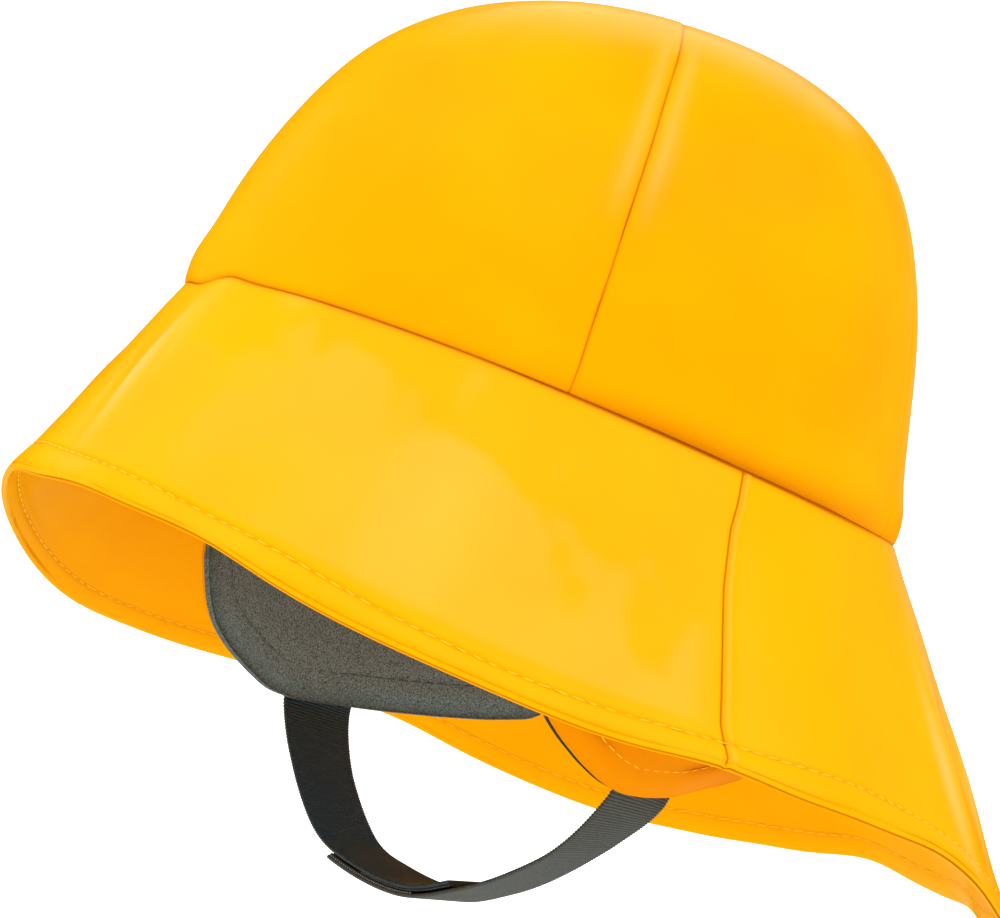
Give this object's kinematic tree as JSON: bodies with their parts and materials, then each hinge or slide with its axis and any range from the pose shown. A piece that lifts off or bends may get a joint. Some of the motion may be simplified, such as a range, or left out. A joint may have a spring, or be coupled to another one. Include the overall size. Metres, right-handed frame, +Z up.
{
  "type": "sou'wester rain hat",
  "caption": "Child's domed rain hat of coated cloth with a sloping brim that is longer at the back, fleece-lined ear flaps and a webbing chin strap closed under the chin.",
  "frame": {"origin": "middle of the head opening, at the height of the seam between crown and brim", "axes": "+Z up, brow towards -Y, nape towards +Y, the wearer's left ear towards +X"},
  "size_m": [0.243, 0.2687, 0.2149],
  "materials": {
    "crown_cloth": "glossy coated rain cloth, warm yellow",
    "brim_cloth": "glossy coated rain cloth, warm yellow",
    "flap_cloth": "glossy coated rain cloth, warm yellow in shade",
    "fleece": "short grey fleece",
    "webbing": "dark grey woven webbing, finely ribbed across",
    "strap_pads": "dark hook and loop pads"
  },
  "bodies": {
    "root": {"crown_front_panel": "crown_cloth", "crown_left_panel": "crown_cloth", "crown_back_panel": "crown_cloth", "crown_right_panel": "crown_cloth", "brim_front": "brim_cloth", "brim_back": "brim_cloth", "ear_flap_right": "flap_cloth", "ear_flap_left": "flap_cloth", "ear_flap_lining_right": "fleece", "ear_flap_lining_left": "fleece", "chin_strap_right": "webbing", "chin_strap_left": "webbing", "loop_pad": "strap_pads", "hook_pad": "strap_pads"}
  },
  "joints": []
}
